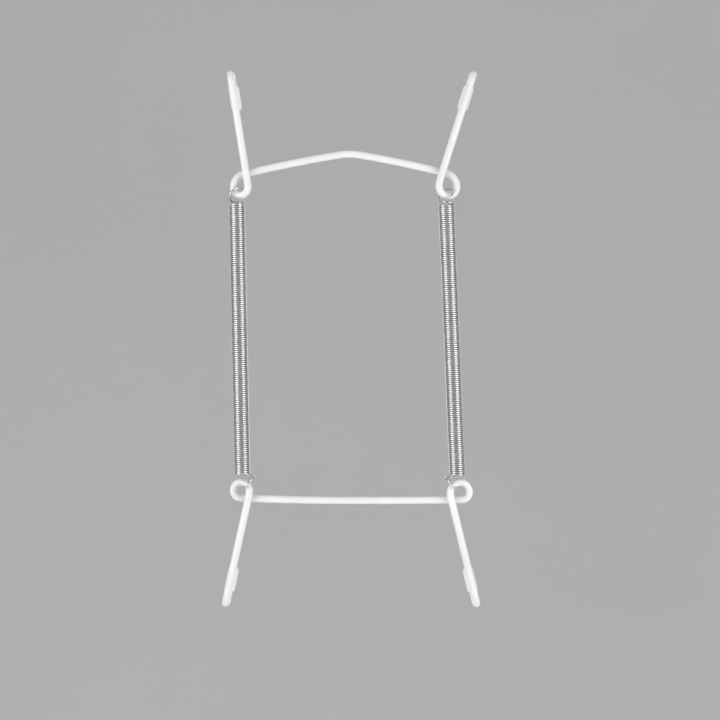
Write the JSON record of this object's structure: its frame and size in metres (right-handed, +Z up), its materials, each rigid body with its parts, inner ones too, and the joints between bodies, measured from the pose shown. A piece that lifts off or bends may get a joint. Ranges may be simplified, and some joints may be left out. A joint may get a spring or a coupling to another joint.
{
  "type": "wire plate hanger",
  "caption": "Wire plate hanger: bent white wire yokes with capped rim hooks, drawn together by close-wound extension springs to grip a plate hung on a wall nail.",
  "frame": {"origin": "point under the peak of the upper crossbar where the wall nail carries the hanger", "axes": "+Z up along the hanger, +Y from the wall towards the plate, +X to the right as seen from the wall side"},
  "size_m": [0.0807, 0.0131, 0.1679],
  "materials": {
    "coated_wire": "satin white coating over steel wire",
    "spring_steel": "bright plated spring wire",
    "soft_vinyl": "soft white vinyl cap"
  },
  "bodies": {
    "upper_yoke": {"upper_yoke": "coated_wire", "tip_upper_left": "soft_vinyl", "tip_upper_right": "soft_vinyl"},
    "springs": {"left_spring": "spring_steel", "right_spring": "spring_steel"},
    "lower_yoke": {"lower_yoke": "coated_wire", "tip_lower_left": "soft_vinyl", "tip_lower_right": "soft_vinyl"}
  },
  "joints": [
    {"name": "spring_swing", "type": "hinge", "parent": "upper_yoke", "child": "springs", "pos_m": [0, -0.00119, -0.0111], "axis": [1, 0, 0], "range_deg": [-30, 30]},
    {"name": "stretch", "type": "slide", "parent": "springs", "child": "lower_yoke", "axis": [0, 0, -1], "range_m": [0, 0.066], "stiffness_N_per_m": 284, "springref_m": -0.012, "deforming": ["left_spring", "right_spring"]}
  ]
}
